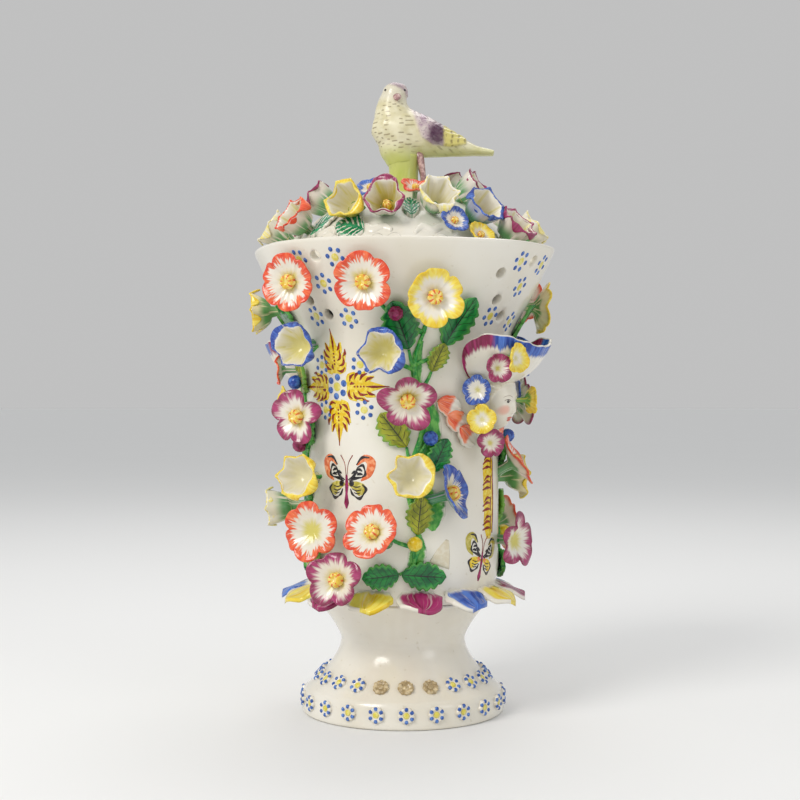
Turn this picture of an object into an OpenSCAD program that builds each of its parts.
// Pot-pourri vase: a hollow foot, a body with a flared and pierced neck, and a domed cover that lifts off.
// Flowers, leaves, masks, petals and a bird are separate pieces stuck to the thrown pieces.
// Millimetres, +Z up. The origin is the middle of the foot ring, on the ground.
// The painted front faces -Y and the masks face +X and -X. A bearing is counted from -Y towards +X.

/* [Foot] */
// Diameter of the foot ring on the ground
foot_d = 86.5; // [80:0.5:94]
// Height of the upright band at the bottom of the foot
band_h = 10; // [8:0.5:12]
// Diameter of the foot's waist
waist_d = 53; // [48:0.5:58]
// Height of the waist above the ground
waist_h = 31; // [29:0.5:34]
// Height of the joint between foot and body
foot_h = 49; // [46:0.5:53]
// Diameter of the joint between foot and body
joint_d = 77; // [73:0.5:79]
// Wall of the foot
foot_wall = 5; // [4:0.5:7]

/* [Body] */
// Diameter of the body at mid height
body_d = 82; // [79:0.5:87]
// Height of the body from its joint to the start of the neck
body_h = 112; // [105:1:120]
// Wall of the body and neck
wall = 4; // [3:0.5:5]
// Thickness of the body's floor
floor_t = 5; // [4:0.5:8]

/* [Neck] */
// Diameter where the neck starts
neck_d = 93; // [91:0.5:97]
// Height of the neck
neck_h = 35; // [31:1:40]
// Width of the rim over two opposite corners
rim_d = 135; // [132:0.5:142]
// Width of the rim over two opposite panels
rim_panel_d = 128; // [126:0.5:131]
// Diameter of the pierced holes
hole_d = 4.4; // [3:0.2:5]

/* [Cover] */
// Depth of the cover's ledge below the rim
seat_drop = 8; // [7:0.5:10]
// Diameter of the mouth inside the ledge
mouth_d = 94; // [90:0.5:98]
// Thickness of the ledge
ledge_t = 4; // [3:0.5:6]
// Diameter of the cover's rim
cover_d = 107; // [104:0.5:109]
// Thickness of the cover's rim
cover_rim_t = 3; // [2:0.5:4]
// Rise of the dome above its rim
dome_rise = 31; // [27:0.5:36]
// Wall of the dome
cover_wall = 4; // [3:0.5:5]
// Depth of the locating flange
flange_h = 8; // [6:0.5:12]
// Wall of the locating flange
flange_wall = 3.4; // [2.5:0.1:4.5]
// Gap between the flange and the mouth, on the radius
cover_gap = 0.6; // [0.4:0.1:1.2]

/* [Flowers] */
// Diameter of an open primrose
primrose_d = 22; // [19:0.5:25]
// Depth of an open primrose
primrose_depth = 4; // [3:0.5:6]
// Diameter of a cupped flower
cup_d = 19; // [17:0.5:21]
// Depth of a cupped flower
cup_depth = 8; // [6:0.5:10]
// Diameter of a tall bell flower
bell_d = 16; // [13:0.5:17]
// Depth of a tall bell flower
bell_depth = 11; // [9:0.5:14]
// Diameter of a small wreath flower
wreath_d = 11; // [9:0.5:12]
// Depth of a small wreath flower
wreath_depth = 2.6; // [2:0.2:4]
// Diameter of a bud or berry
bud_d = 6; // [4.5:0.5:7]
// Thickness of a petal
petal_t = 1.6; // [1.2:0.1:2]
// Diameter of a flower's stalk
stalk_d = 6; // [4.5:0.5:6.5]
// Thickness of a leaf
leaf_t = 1.5; // [1:0.1:2]
// Width of a garland's stem
stem_w = 2.6; // [1.8:0.2:3.4]

/* [Frill and florets] */
// Diameter over the tips of the frill
frill_d = 106; // [100:1:112]
// Number of petals in the frill
frill_count = 14; // [11:1:15]
// Height of the frill's root above the joint
frill_root = 5; // [4:0.5:7]
// Drop from the frill's root to its tip
frill_drop = 6.5; // [4:0.5:9]
// Diameter of a foot floret
floret_d = 6.8; // [5:0.2:8]
// Florets in each row of the foot
floret_count = 22; // [16:1:24]

/* [Masks] */
// Width of a mask's head
head_w = 17; // [15:0.5:19]
// Height of a mask's head
head_h = 23; // [21:0.5:25]
// Distance of a head's axis from the body's wall
head_out = 6; // [5:0.5:8]
// Diameter of a bonnet
bonnet_d = 50; // [46:0.5:54]
// Thickness of a bonnet
bonnet_t = 2; // [1.5:0.1:2.5]
// Radius of the arch that a bonnet's brim follows, seen from the side
brim_r = 15.5; // [14.5:0.5:17]

/* [Finial] */
// Diameter of the stump under the bird
stump_d = 12; // [10:0.5:14]
// Height of the bird's body centre above the dome
bird_lift = 24.5; // [22.5:0.5:28]
// Length of the bird's body
bird_l = 42; // [39:0.5:45]
// Greatest diameter of the bird's body
bird_d = 20; // [18:0.5:21]
// Diameter of the bird's head
bird_head_d = 10.5; // [9:0.5:12]
// Height of the head's centre above the body's centre
bird_head_up = 18; // [16:0.5:20]
// Length of the tail beyond the body
tail_l = 18; // [12:0.5:22]
// Bearing that the bird's flank faces
bird_turn = 35; // [-180:5:180]

/* [Hidden] */
$fn = 64;
neck_z = foot_h + body_h;
rim_z = neck_z + neck_h;
span = rim_z - foot_h;
seat_z = rim_z - seat_drop;
foot_r = foot_d / 2;
waist_r = waist_d / 2;
joint_r = joint_d / 2;
body_r = body_d / 2;
neck_r = neck_d / 2;
rim_r = rim_d / 2;
panel_r = rim_panel_d / 2;
mouth_r = mouth_d / 2;
cover_r = cover_d / 2;
// The band leans in a little. Curved profiles are drawn with this many steps, and flowers with fewer.
band_lean = 1.2;
steps = 6;
flower_steps = 4;
// A flower's bowl is this much wider than the outline that cuts its petals, and curves up by this power.
bowl_over = 1.06;
bowl_curve = 1.7;
// Petals overlap by this factor. The core, boss and stalk of a flower are shares of its diameter.
lobe_over = 1.12;
core_share = 0.68;
boss_share = 0.24;
stalk_share = 0.36;
// Length of stalk behind a flower, before it is cut to what it stands on.
stalk_reach = 24;
// Part of the body over which its base swells, and part from which it flares.
swell_h = 16;
flare_from = 0.54;
// The neck's panels are cones about axes set off from the middle, a little wider than the neck at its start.
panel_off = 40;
panel_start = 0.6;
// Overrun of a cutter past the face that it cuts.
over = 1;
// Clearance of a stem or leaf round a stalk.
fit = 0.1;
// The dome is part of a ball.
dome_base_z = seat_z + cover_rim_t;
ball_r = (cover_r * cover_r + dome_rise * dome_rise) / (2 * dome_rise);
ball_z = dome_base_z + dome_rise - ball_r;
apex_z = dome_base_z + dome_rise;

// Kinds of flower: diameter, depth, number of petals.
primrose = [primrose_d, primrose_depth, 6];
cup = [cup_d, cup_depth, 6];
bell = [bell_d, bell_depth, 6];
wreath = [wreath_d, wreath_depth, 5];

// Garland flowers: name, kind, colour, bearing, height as a share of the body, stand-off from the wall
// (on the neck, beyond what flare_of gives), tilt up, turn to the side.
front_right = [
    ["red_primrose_upper_right", primrose, "orangered", 21, 0.880, -0.9, -8, 0],
    ["yellow_primrose_neck_right", primrose, "gold", 47, 0.842, -0.9, -6, 0],
    ["blue_cup_upper_right", cup, "royalblue", 27, 0.700, 8, -4, -4],
    ["puce_primrose_right", primrose, "mediumvioletred", 37, 0.570, 11, -28, 0],
    ["yellow_cup_right", cup, "gold", 38, 0.362, 8, 6, 0],
    ["blue_primrose_lower_right", primrose, "royalblue", 58, 0.313, 7, 16, 42],
    ["red_primrose_lower_right", primrose, "orangered", 22, 0.212, 11, 22, -12]
];
front_left = [
    ["red_primrose_upper_left", primrose, "orangered", -10, 0.890, -0.9, -8, 21],
    ["yellow_cup_neck_left", cup, "gold", -46, 0.824, -1, -6, -10],
    ["blue_cup_upper_left", cup, "royalblue", -15, 0.720, 8, -4, 24],
    ["red_bell_left", wreath, "orangered", -50, 0.655, 8, 0, -8],
    ["puce_primrose_left", primrose, "mediumvioletred", -24, 0.522, 9, 0, 31],
    ["yellow_cup_left", cup, "gold", -20, 0.356, 8, 6, 27],
    ["pale_cup_left", bell, "ivory", -47, 0.262, 6, -4, -8],
    ["red_primrose_lower_left", primrose, "orangered", -12.5, 0.207, 9, 4, 26],
    ["puce_primrose_frill", primrose, "mediumvioletred", 6, 0.082, 13, 8, 7]
];
back_right = [
    ["red_primrose_upper_back_right", primrose, "orangered", 159, 0.880, -0.9, -8, 0],
    ["yellow_primrose_neck_back_right", primrose, "gold", 133, 0.842, -0.9, -6, 0],
    ["blue_cup_upper_back_right", cup, "royalblue", 153, 0.700, 8, -4, 4],
    ["puce_primrose_back_right", primrose, "mediumvioletred", 143, 0.570, 11, 0, 0],
    ["red_primrose_side_back_right", primrose, "orangered", 118, 0.386, 6, 30, 0],
    ["yellow_cup_back_right", cup, "gold", 147, 0.340, 8, 6, 0],
    ["puce_primrose_side_back_right", primrose, "mediumvioletred", 112, 0.166, 7, 0, -22],
    ["red_primrose_lower_back_right", primrose, "orangered", 158, 0.190, 11, 6, 6]
];
back_left = [
    ["red_primrose_upper_back_left", primrose, "orangered", -163, 0.884, -0.9, -8, 0],
    ["yellow_cup_neck_back_left", cup, "gold", -134, 0.824, -1, -6, 10],
    ["blue_cup_upper_back_left", cup, "royalblue", -156, 0.712, 8, -4, 0],
    ["red_bell_back_left", wreath, "orangered", -130, 0.655, 8, 0, 8],
    ["puce_primrose_back_left", primrose, "mediumvioletred", -154, 0.520, 11, 0, -4],
    ["yellow_cup_back_left", cup, "gold", -154, 0.354, 8, 6, -6],
    ["pale_cup_back_left", bell, "ivory", -133, 0.262, 6, -4, 8],
    ["red_primrose_lower_back_left", primrose, "orangered", -166, 0.212, 11, 4, -4]
];

// Buds and berries: bearing from the garland's middle, height as a share of the body.
right_buds = [[-13, 0.800], [4, 0.465], [-4, 0.178]];
left_buds = [[7, 0.620], [7, 0.440], [4, 0.170]];

// Leaves: bearing from the garland's middle, height as a share of the body, turn, length, width.
right_leaves = [
    [-7, 0.705, 20, 20, 13],
    [11, 0.715, -24, 21, 12],
    [5, 0.645, -18, 12, 7.5],
    [-8, 0.440, 35, 17, 11],
    [6, 0.370, -22, 15, 9],
    [-2, 0.200, -4, 16, 10],
    [-12, 0.092, 98, 14, 10],
    [-11, 0.092, -94, 17, 11]
];
left_leaves = [
    [6, 0.745, -30, 17, 11],
    [-8, 0.705, 24, 19, 11],
    [5, 0.590, -35, 14, 9],
    [8, 0.440, -35, 17, 10],
    [-6, 0.385, 20, 14, 9],
    [6, 0.270, -20, 18, 9.5],
    [8, 0.085, -58, 17, 10],
    [-7, 0.080, 60, 16, 10]
];

// Garlands: name, bearing of the middle, flowers, buds, leaves, and 1, or -1 where the list is mirrored.
garlands = [
    ["front_right", 45, front_right, right_buds, right_leaves, 1],
    ["front_left", -45, front_left, left_buds, left_leaves, 1],
    ["back_right", 135, back_right, right_buds, right_leaves, -1],
    ["back_left", -135, back_left, left_buds, left_leaves, -1]
];
// A stem sways this far either side of its middle, leans this far aside at its foot, and spans these shares
// of the body.
stem_sway = 2.5;
stem_lean = 4;
stem_span = [0.10, 0.75];
stem_waves = 2;
stem_t = leaf_t * 1.2;

// Cover flowers: name, kind, colour, bearing, angle from the dome's top, stand-off, tilt up from the dome's
// normal.
cover_front = [
    ["cover_yellow_cup_front", bell, "gold", 5, 37.5, 1.5, -36],
    ["cover_puce_cup_front", bell, "mediumvioletred", 26, 37.5, 1.5, -36],
    ["cover_pale_bell", bell, "ivory", 53, 37.5, 1.5, -20],
    ["cover_blue_star", wreath, "royalblue", 59, 49, 4.5, -15],
    ["cover_blue_bell", bell, "royalblue", 76, 42.5, 1.5, -19],
    ["cover_yellow_floret", wreath, "gold", 71, 54, 3, -6],
    ["cover_puce_cup_right", bell, "mediumvioletred", 90, 53, 1.5, 5],
    ["cover_red_floret", wreath, "orangered", 45, 26, 4, -4],
    ["cover_red_bell_left", bell, "orangered", -23, 47, 1.5, -11],
    ["cover_pale_cup_left", bell, "ivory", -55, 50, 2, -5]
];
cover_back = [
    ["blue_top", wreath, "royalblue", -2, 20, 3, -25],
    ["puce_left", bell, "mediumvioletred", -66, 29, 1.5, -26],
    ["puce_top", bell, "mediumvioletred", 155, 20, 1.5, -35],
    ["puce_side", bell, "mediumvioletred", 108, 23, 1.5, -39],
    ["yellow_back", bell, "gold", 185, 37.5, 1.5, -36],
    ["puce_back", bell, "mediumvioletred", 206, 37.5, 1.5, -36],
    ["pale_back", bell, "ivory", 233, 37.5, 1.5, -20],
    ["blue_star_back", wreath, "royalblue", 239, 49, 4.5, -15],
    ["blue_back", bell, "royalblue", 256, 42.5, 1.5, -19],
    ["yellow_floret_back", wreath, "gold", 251, 54, 3, -6],
    ["puce_side_back", bell, "mediumvioletred", 272, 53, 1.5, 5],
    ["red_back", bell, "orangered", 157, 47, 1.5, -11],
    ["pale_side_back", bell, "ivory", 125, 50, 2, -5]
];

// Cover leaves: bearing, angle from the dome's top, turn, length, width.
cover_leaf_list = [
    [16, 51, 75, 14, 9],
    [-17, 52, -30, 13, 8],
    [40, 43, 0, 11, 7],
    [65, 37, -20, 11, 7],
    [196, 51, 75, 14, 9],
    [163, 52, -30, 13, 8],
    [220, 43, 0, 11, 7],
    [245, 37, -20, 11, 7]
];

// Wreath of a mask: sideways from the face's middle, up from the head's middle, out from the head's axis,
// and how far the flower is turned to the side. The fourth and fifth stand on the bonnet.
mask_wreath = [
    [-14.5, 4.5, 0, -70],
    [-13, -7.5, 1, -65],
    [-8.5, -17, 2, -35],
    [-17.5, 13, 11, -35],
    [-14.5, 17, 17.5, -12],
    [13.5, 4.5, -2, 75],
    [11.5, 0.5, 8, 55]
];
mask_z = foot_h + 0.566 * span;
mask_r = body_r + head_out;
// A head narrows to its chin by this share.
chin_taper = 0.12;
// The bonnet's ball: how far its middle lies in front of the head's axis, and how deep it sinks on the head.
bonnet_r = bonnet_d / 2;
bonnet_out = -2;
bonnet_sink = 5.5;
bonnet_up = head_h / 2 + bonnet_r - bonnet_sink;
// Middle of the brim's arch: out from the head's axis, up from the head's middle.
brim_out = 10.5;
brim_up = 11;
// Petals of a collar: bearing from the mask's middle, height from the head's middle, turn.
collar_petals = [
    [-22, -4, 70],
    [-17, -11, 62],
    [-11, -18, 50],
    [22, -4, -70],
    [17, -11, -62],
    [11, -18, -50]
];
collar_petal = [11, 9];
collar_t = 2.2;

// Holes of a corner: bearing from the corner, height as a share of the neck.
corner_holes = [[2, 0.80], [-14, 0.63], [-10, 0.34], [-2, 0.17]];

// Rows of the foot's florets: height, tilt up.
lower_row = [band_h * 0.62, 0];
upper_row = [band_h * 1.55, 42];
floret_t = 1.4;
floret_start = 90 / floret_count;

// Bearing of the frill's first petal.
frill_start = 18;

// Curves of the foot's two flares.
foot_curve = 1.8;
top_curve = 1.35;

function lerp(a, b, t) = a + (b - a) * t;
function at_share(s) = lerp(foot_h, rim_z, s);

// Radius of the foot at a height.
function foot_at(z) =
    z <= band_h ? foot_r - band_lean * z / band_h :
    z <= waist_h ? lerp(waist_r, foot_r - band_lean, pow((waist_h - z) / (waist_h - band_h), foot_curve)) :
    lerp(waist_r, joint_r, pow((z - waist_h) / (foot_h - waist_h), top_curve));

// Radius of the body below the neck at a height.
function body_at(z) =
    let (low = 1 - min(1, (z - foot_h) / swell_h))
    let (high = max(0, ((z - foot_h) / body_h - flare_from) / (1 - flare_from)))
    body_r - (body_r - joint_r) * low * low + (neck_r - body_r) * high * high;

// Radii of the neck's cones at a height.
function corner_at(z) = lerp(neck_r, rim_r, (z - neck_z) / neck_h);
function panel_at(z) = lerp(neck_r + panel_start, panel_r, (z - neck_z) / neck_h);

// Distance of the outer wall from the axis at a bearing and height.
function wall_at(az, z) =
    let (aside = (az + 720) % 90 - 45)
    let (reach = panel_at(z) + panel_off)
    let (flat = sqrt(reach * reach - pow(panel_off * sin(aside), 2)) - panel_off * cos(aside))
    z <= neck_z ? body_at(z) : min(corner_at(z), flat);

// Heights at which the foot's and the body's profiles have a point.
foot_heights = concat(
    [0],
    [for (i = [0 : steps]) lerp(band_h, waist_h, i / steps)],
    [for (i = [1 : steps]) lerp(waist_h, foot_h, i / steps)]
);
body_heights = concat(
    [for (i = [0 : steps / 2]) foot_h + swell_h * 2 * i / steps],
    [for (i = [0 : steps]) foot_h + body_h * lerp(flare_from, 1, i / steps)]
);
function backwards(list) = [for (i = [len(list) - 1 : -1 : 0]) list[i]];

// Places children, facing +Z, on the outside at a bearing, height and distance from the axis.
module facing_out(az, z, r, tilt = 0, turn = 0) {
    rotate([0, 0, az])
        translate([0, -r, z])
            rotate([0, 0, turn])
                rotate([90 - tilt, 0, 0])
                    children();
}

// Places children, facing +Z, over the dome at a bearing, angle from its top and stand-off.
module facing_up(az, angle, stand, tilt = 0) {
    rotate([0, 0, az])
        translate([0, -(ball_r + stand) * sin(angle), ball_z + (ball_r + stand) * cos(angle)])
            rotate([angle - tilt, 0, 0])
                children();
}

// Solid of the foot's outside.
module foot_form() {
    rotate_extrude($fn = 180)
        polygon(concat([[0, 0]], [for (z = foot_heights) [foot_at(z), z]], [[0, foot_h]]));
}

// Solid of the body's outside below the neck, grown or shrunk.
module lower_form(grow = 0) {
    rotate_extrude()
        polygon(concat([[0, foot_h]], [for (z = body_heights) [body_at(z) + grow, z]], [[0, neck_z]]));
}

// Solid of the neck, square with round sides, grown or shrunk. It starts a little inside the body below it.
module neck_form(grow, past) {
    low = neck_z - over;
    high = rim_z + past;
    intersection() {
        translate([0, 0, low])
            cylinder(h = high - low, r1 = corner_at(low) + grow, r2 = corner_at(high) + grow);
        for (side = [0 : 3])
            rotate([0, 0, 45 + 90 * side])
                translate([0, panel_off, low])
                    cylinder(
                        h = high - low,
                        r1 = panel_at(low) + grow + panel_off,
                        r2 = panel_at(high) + grow + panel_off,
                        $fn = 128
                    );
    }
}

// Solid of the body's whole outside, grown or shrunk, with the neck run past the rim.
module body_form(grow = 0, past = 0) {
    lower_form(grow);
    neck_form(grow, past);
}

// Solid that a piece at a height is cut by: the body below the neck alone, where that is all it meets.
module wall_form(z) {
    if (z > neck_z - cup_d)
        body_form();
    else
        lower_form();
}

// Thin coats over the body, for leaves and stems.
module lower_coat(t) {
    difference() {
        lower_form(t);
        lower_form();
    }
}

module body_coat(t) {
    difference() {
        body_form(t);
        body_form();
    }
}

// Solid of the cover's outside without its flange.
module dome_form(grow = 0) {
    edge = asin(cover_r / ball_r);
    rotate_extrude()
        polygon(concat(
            [[0, seat_z], [cover_r + grow, seat_z]],
            [for (i = [0 : steps])
                let (a = edge * (1 - i / steps))
                [(ball_r + grow) * sin(a), ball_z + (ball_r + grow) * cos(a)]]
        ));
}

// Outline of a round-petalled flower.
module petal_outline(d, petals) {
    lobe = lobe_over * sin(180 / petals) / (1 + sin(180 / petals)) * d / 2;
    circle(d = core_share * d);
    for (i = [0 : petals - 1])
        rotate([0, 0, 360 * i / petals])
            translate([0, d / 2 - lobe])
                circle(r = lobe);
}

// Outline of a pointed leaf, its base at the origin and its tip up +Y.
module leaf_outline(length, width) {
    arc_r = (length * length + width * width) / (4 * width);
    intersection_for(side = [-1, 1])
        translate([side * (arc_r - width / 2), length / 2])
            circle(r = arc_r);
}

// Stalk of a flower, down from the origin.
module stalk(d, reach) {
    translate([0, 0, -reach])
        cylinder(h = reach + petal_t / 2, d = d);
}

// Head of a flower facing +Z, with its back at the origin.
module flower_head(kind) {
    bowl_r = bowl_over * kind[0] / 2;
    back = [for (i = [0 : flower_steps])
        let (s = i / flower_steps)
        [bowl_r * s, kind[1] * pow(s, bowl_curve)]];
    front = [for (p = back) [p[0], p[1] + petal_t]];
    intersection() {
        rotate_extrude()
            polygon(concat(back, backwards(front)));
        translate([0, 0, -over])
            linear_extrude(height = kind[1] + petal_t + 2 * over)
                petal_outline(kind[0], kind[2]);
    }
    translate([0, 0, petal_t])
        sphere(d = boss_share * kind[0], $fn = 32);
}

// Stalk width of a kind of flower.
function stalk_of(kind) = min(stalk_d, stalk_share * kind[0]);

// How far the neck flares out over the upper half of a flower on it, so that the flower's edge clears it.
function flare_of(f) = at_share(f[4]) > neck_z ? f[1][0] / 2 * (rim_r - neck_r) / neck_h : 0;

// Places children at a garland flower.
module at_flower(f) {
    z = at_share(f[4]);
    facing_out(f[3], z, wall_at(f[3], z) + flare_of(f) + f[5], f[6], f[7])
        children();
}

// One garland flower, its stalk cut to the wall.
module garland_flower(f) {
    color(f[2]) {
        at_flower(f)
            flower_head(f[1]);
        difference() {
            at_flower(f)
                stalk(stalk_of(f[1]), stalk_reach);
            wall_form(at_share(f[4]));
        }
    }
}

// Places children at a garland's bud, facing out of the wall.
module at_bud(g, b) {
    az = g[1] + g[5] * b[0];
    z = at_share(b[1]);
    facing_out(az, z, wall_at(az, z))
        children();
}

// Buds of one garland, each a ball on a short stalk.
module garland_buds(g) {
    color("goldenrod")
        difference() {
            for (b = g[3])
                at_bud(g, b) {
                    translate([0, 0, bud_d / 2 + leaf_t])
                        sphere(d = bud_d, $fn = 32);
                    translate([0, 0, -bud_d])
                        cylinder(h = 1.5 * bud_d + leaf_t, d = 0.5 * bud_d);
                }
            wall_form(at_share(max([for (b = g[3]) b[1]])));
        }
}

// Room that stalks and buds need in a garland's leaves and stem.
module stalk_room(g) {
    for (f = g[2])
        at_flower(f)
            stalk(stalk_of(f[1]) + 2 * fit, stalk_reach);
    for (b = g[3])
        at_bud(g, b) {
            translate([0, 0, -bud_d])
                cylinder(h = 1.5 * bud_d + leaf_t, d = 0.5 * bud_d + 2 * fit);
            translate([0, 0, bud_d / 2 + leaf_t])
                sphere(d = bud_d + 2 * fit, $fn = 32);
        }
}

// Swaying strip of a garland's stem, as a prism through the wall.
module stem_prism(g, w) {
    z0 = at_share(stem_span[0]);
    z1 = at_share(stem_span[1]);
    left = [for (i = [0 : 2 * steps])
        let (s = i / (2 * steps))
        [g[5] * (stem_sway * sin(360 * stem_waves * s) - stem_lean * (1 - s)) - w / 2, lerp(z0, z1, s)]];
    right = [for (p = left) [p[0] + w, p[1]]];
    rotate([0, 0, g[1]])
        translate([0, -joint_r / 2, 0])
            rotate([90, 0, 0])
                linear_extrude(height = rim_r)
                    polygon(concat(left, backwards(right)));
}

// Stem of one garland.
module garland_stem(g) {
    color("forestgreen")
        difference() {
            intersection() {
                stem_prism(g, stem_w);
                lower_coat(stem_t);
            }
            stalk_room(g);
        }
}

// Leaves of one garland, laid on the wall beside the stem.
module garland_leaves(g) {
    color("seagreen")
        difference() {
            intersection() {
                for (l = g[4])
                    facing_out(g[1] + g[5] * l[0], at_share(l[1]), joint_r / 2)
                        rotate([0, 0, g[5] * l[2]])
                            linear_extrude(height = rim_r)
                                leaf_outline(l[3], l[4]);
                body_coat(leaf_t);
            }
            stem_prism(g, stem_w + 2 * fit);
            stalk_room(g);
        }
}

// Flowers of a garland at the back, as a group.
module garland_group(g) {
    for (f = g[2])
        garland_flower(f);
}

module foot() {
    color("ivory")
        difference() {
            foot_form();
            rotate_extrude()
                polygon(concat([[0, -over], [foot_at(0) - foot_wall, -over]],
                    [for (z = foot_heights) [foot_at(z) - foot_wall, z]],
                    [[joint_r - foot_wall, foot_h + over], [0, foot_h + over]]));
        }
}

// Ledge inside the neck that carries the cover, with a sloping underside.
module ledge() {
    difference() {
        intersection() {
            body_form(-wall / 2);
            translate([0, 0, seat_z - 2 * ledge_t])
                cylinder(h = 2 * ledge_t, r = rim_r);
        }
        translate([0, 0, seat_z - ledge_t])
            cylinder(h = ledge_t + over, r = mouth_r);
        translate([0, 0, seat_z - 2 * ledge_t - over])
            cylinder(h = ledge_t + over, r1 = mouth_r + ledge_t + over, r2 = mouth_r);
    }
}

module body() {
    color("ivory")
        difference() {
            union() {
                difference() {
                    body_form();
                    difference() {
                        body_form(-wall, over);
                        translate([0, 0, foot_h - over])
                            cylinder(h = floor_t + over, r = rim_r);
                    }
                }
                ledge();
            }
            for (corner = [0 : 3])
                for (h = corner_holes)
                    let (az = 90 * corner + h[0], z = lerp(neck_z, rim_z, h[1]))
                        facing_out(az, z, wall_at(az, z) - 2.5 * wall)
                            cylinder(h = 4 * wall, d = hole_d, $fn = 32);
        }
}

// One petal of the frill.
module frill_petal(az) {
    tip_r = frill_d / 2;
    petal_w = 1.9 * (tip_r - joint_r / 4) * sin(180 / frill_count);
    root_z = foot_h + frill_root;
    difference() {
        intersection() {
            rotate_extrude()
                polygon([[joint_r / 2, root_z], [joint_r, root_z], [tip_r, root_z - frill_drop],
                    [tip_r, root_z - frill_drop + petal_t], [joint_r, root_z + petal_t],
                    [joint_r / 2, root_z + petal_t]]);
            rotate([0, 0, az])
                translate([0, 0, root_z - frill_drop - over])
                    linear_extrude(height = frill_drop + petal_t + 2 * over) {
                        translate([0, petal_w / 2 - tip_r])
                            circle(d = petal_w);
                        translate([-petal_w / 3, petal_w / 2 - tip_r])
                            square([2 * petal_w / 3, tip_r / 2]);
                    }
        }
        lower_form();
    }
}

// Every third petal of the frill, from one of them on.
module frill_petals(first, tint) {
    color(tint)
        for (i = [first : 3 : frill_count - 1])
            frill_petal(frill_start + 360 * i / frill_count);
}

// One row of stamped rosettes on the foot.
module floret_row(row) {
    color("aliceblue")
        difference() {
            for (i = [0 : floret_count - 1])
                facing_out(floret_start + 360 * i / floret_count, row[0], foot_at(row[0]) - floret_t, row[1])
                    linear_extrude(height = 2 * floret_t)
                        petal_outline(floret_d, 6);
            foot_form();
        }
}

// Turns children from facing -Y to facing the right or left side.
module at_side(side) {
    rotate([0, 0, 90 * side])
        children();
}

// Egg of a mask's head, chin down.
module head_form() {
    line = [for (i = [1 : 2 * steps - 1])
        let (a = 90 * i / steps)
        [head_w / 2 * sin(a) * (1 - chin_taper * cos(a)), -head_h / 2 * cos(a)]];
    translate([0, -mask_r, mask_z])
        rotate_extrude()
            polygon(concat([[0, -head_h / 2]], line, [[0, head_h / 2]]));
}

// Head of a mask, its back cut to the wall.
module mask(side) {
    color("seashell")
        at_side(side)
            difference() {
                head_form();
                lower_form();
            }
}

// Ball round a bonnet's dish, of any radius about the same middle.
module bonnet_ball(r) {
    translate([0, -mask_r - bonnet_out, mask_z + bonnet_up])
        sphere(r = r, $fn = 96);
}

// Bonnet's dish filled in: the lower part of a ball, inside a barrel across it whose top the brim follows.
module bonnet_form() {
    intersection() {
        bonnet_ball(bonnet_r);
        translate([0, -mask_r - brim_out, mask_z + brim_up])
            rotate([0, 90, 0])
                cylinder(r = brim_r, h = 2 * bonnet_d, center = true, $fn = 96);
    }
}

// Bonnet of a mask: a dish worn on the crown of the head, its brim turned up at the sides.
module bonnet(side) {
    color("ivory")
        at_side(side)
            difference() {
                bonnet_form();
                bonnet_ball(bonnet_r - bonnet_t);
                head_form();
                lower_form();
            }
}

// Collar of a mask: petals laid on the wall either side of the chin.
module collar(side) {
    color("coral")
        at_side(side)
            difference() {
                intersection() {
                    for (p = collar_petals)
                        facing_out(p[0], mask_z + p[1], joint_r / 2)
                            rotate([0, 0, p[2]])
                                linear_extrude(height = rim_r)
                                    leaf_outline(collar_petal[0], collar_petal[1]);
                    lower_coat(collar_t);
                }
                wreath_room();
                head_form();
            }
}

// Places children at each flower of a mask's wreath.
module at_wreath() {
    for (w = mask_wreath)
        translate([w[0], -mask_r - w[2], mask_z + w[1]])
            rotate([90, 0, w[3]])
                children();
}

module wreath_room() {
    at_wreath()
        stalk(stalk_of(wreath) + 2 * fit, stalk_reach);
}

// Wreath of small flowers round a mask, their stalks cut to the head, the bonnet and the wall.
module mask_flowers(side) {
    color("plum")
        at_side(side)
            difference() {
                at_wreath() {
                    flower_head(wreath);
                    stalk(stalk_of(wreath), stalk_reach);
                }
                bonnet_form();
                head_form();
                lower_form();
            }
}

module cover() {
    in_r = ball_r - cover_wall;
    flange_r = mouth_r - cover_gap;
    color("ivory") {
        difference() {
            dome_form();
            intersection() {
                translate([0, 0, ball_z])
                    sphere(r = in_r, $fn = 96);
                translate([0, 0, seat_z - over])
                    cylinder(h = dome_rise * 2, r = flange_r - flange_wall);
            }
        }
        translate([0, 0, seat_z - flange_h])
            difference() {
                cylinder(h = flange_h + cover_rim_t / 2, r = flange_r);
                translate([0, 0, -over])
                    cylinder(h = flange_h + cover_rim_t + 2 * over, r = flange_r - flange_wall);
            }
    }
}

// One cover flower, its stalk cut to the dome.
module cover_flower(f) {
    color(f[2])
        difference() {
            facing_up(f[3], f[4], f[5], f[6]) {
                flower_head(f[1]);
                stalk(stalk_of(f[1]), stalk_reach / 2);
            }
            dome_form();
        }
}

module cover_leaves() {
    color("mediumseagreen")
        difference() {
            intersection() {
                for (l = cover_leaf_list)
                    rotate([0, 0, l[0]])
                        translate([0, -ball_r * sin(l[1]), seat_z])
                            rotate([0, 0, l[2]])
                                linear_extrude(height = 2 * dome_rise)
                                    leaf_outline(l[3], l[4]);
                dome_form(leaf_t);
            }
            dome_form();
            for (f = concat(cover_front, cover_back))
                facing_up(f[3], f[4], f[5], f[6])
                    stalk(stalk_of(f[1]) + 2 * fit, stalk_reach / 2);
        }
}

// Flowers at the top and back of the cover, as a group.
module cover_flowers_back() {
    for (f = cover_back)
        cover_flower(f);
}

// The bird's own frame: tail towards +X, flank towards -Y, origin at the middle of its body.
body_mid_z = apex_z + bird_lift;
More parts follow.
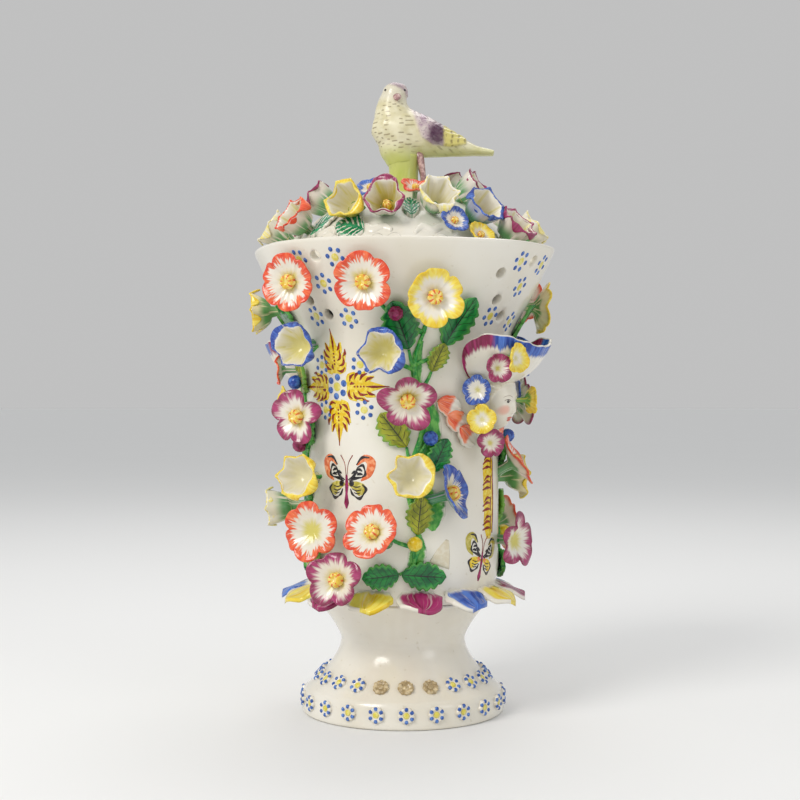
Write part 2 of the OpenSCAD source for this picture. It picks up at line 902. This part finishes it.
// Slope of the body, how far its egg lies towards the tail, fullness of the egg, and how much heavier its
// breast is than its rump.
bird_slope = 14;
egg_back = 5;
egg_power = 0.9;
breast_share = 0.22;
// The head sits this far behind the middle. The neck starts this far up, and leans back by neck_lean.
head_back = 4;
throat_up = 3;
neck_lean = 2;
beak_droop = 15;
tail_w = 9;
wing_t = 1.1;
// Corners of a wing, as shares of the body's length and diameter.
wing_corners = [[-0.16, 0.16], [0, 0.55], [0.6, -0.08], [0.62, -0.2], [0.3, -0.2], [-0.06, -0.18]];
leg_d = 2.6;
leg_x = 9;
leg_side = 4;
// How far the legs start below the dome's top, and how much the stump spreads at its root.
leg_sink = 4;
stump_spread = 0.5;

// Egg of the bird's body, grown a little for the wings, its breast towards -X.
module bird_egg(grow) {
    line = [for (i = [1 : 2 * steps - 1])
        let (a = 90 * i / steps)
        [bird_d / 2 * pow(sin(a), egg_power) * (1 + breast_share * cos(a)) + grow, -bird_l / 2 * cos(a)]];
    translate([egg_back, 0, 0])
        rotate([0, 90 + bird_slope, 0])
            rotate_extrude()
                polygon(concat([[0, -bird_l / 2 - grow]], line, [[0, bird_l / 2 + grow]]));
}

// Stump from the dome up into the bird's belly.
module stump_form() {
    top = body_mid_z;
    low = apex_z - dome_rise / 3;
    line = [for (i = [0 : steps])
        let (s = i / steps)
        [stump_d / 2 * (1 + stump_spread * pow(1 - s, 3)), lerp(low, top, s)]];
    rotate_extrude()
        polygon(concat([[0, low]], line, [[0, top]]));
}

module stump() {
    color("yellowgreen")
        difference() {
            stump_form();
            dome_form();
            rotate([0, 0, bird_turn])
                translate([0, 0, body_mid_z])
                    bird_egg(0);
        }
}

// Wing on one flank, a thin coat over the egg inside a wing's outline.
module wing() {
    intersection() {
        bird_egg(wing_t);
        rotate([90, 0, 0])
            linear_extrude(height = bird_d)
                polygon([for (c = wing_corners) [c[0] * bird_l, c[1] * bird_d]]);
    }
}

// Tail, a flat wedge along the body.
module tail() {
    root = 0.3 * bird_l;
    tip = 0.5 * bird_l + tail_l;
    rotate([0, bird_slope, 0])
        translate([0, tail_w / 2, 0])
            rotate([90, 0, 0])
                linear_extrude(height = tail_w)
                    polygon([[root, 2.5], [tip, 3], [tip, 0.6], [root, -3]]);
}

// Head with its beak towards -Y, and the neck under it.
module bird_head() {
    rise = bird_head_up - throat_up;
    translate([-head_back - neck_lean, 0, throat_up])
        rotate([0, atan(neck_lean / rise), 0])
            cylinder(h = rise, r1 = 0.34 * bird_d, r2 = 0.4 * bird_head_d);
    translate([-head_back, 0, bird_head_up]) {
        sphere(d = bird_head_d);
        rotate([90 + beak_droop, 0, 0])
            cylinder(h = 0.85 * bird_head_d, r1 = 0.26 * bird_head_d, r2 = 0.05 * bird_head_d);
    }
}

module bird() {
    color("palegoldenrod")
        difference() {
            rotate([0, 0, bird_turn])
                translate([0, 0, body_mid_z]) {
                    bird_egg(0);
                    wing();
                    mirror([0, 1, 0])
                        wing();
                    bird_head();
                    tail();
                    for (side = [-1, 1])
                        translate([leg_x, side * leg_side, -bird_lift - leg_sink])
                            cylinder(h = bird_lift, d = leg_d, $fn = 24);
                }
            dome_form();
        }
}

foot();
body();
frill_petals(0, "gold");  // frill_petals_yellow
frill_petals(1, "mediumvioletred");  // frill_petals_puce
frill_petals(2, "royalblue");  // frill_petals_blue
floret_row(lower_row);  // foot_florets_lower
floret_row(upper_row);  // foot_florets_upper
mask(1);  // mask_right
mask(-1);  // mask_left
bonnet(1);  // bonnet_right
bonnet(-1);  // bonnet_left
collar(1);  // collar_right
collar(-1);  // collar_left
mask_flowers(1);  // mask_flowers_right
mask_flowers(-1);  // mask_flowers_left
for (g = garlands)
    garland_stem(g);
for (g = garlands)
    garland_leaves(g);
for (g = garlands)
    garland_buds(g);
for (f = concat(front_right, front_left))
    garland_flower(f);
garland_group(garlands[2]);  // flowers_back_right
garland_group(garlands[3]);  // flowers_back_left
cover();
cover_leaves();
stump();
bird();
for (f = cover_front)
    cover_flower(f);
cover_flowers_back();
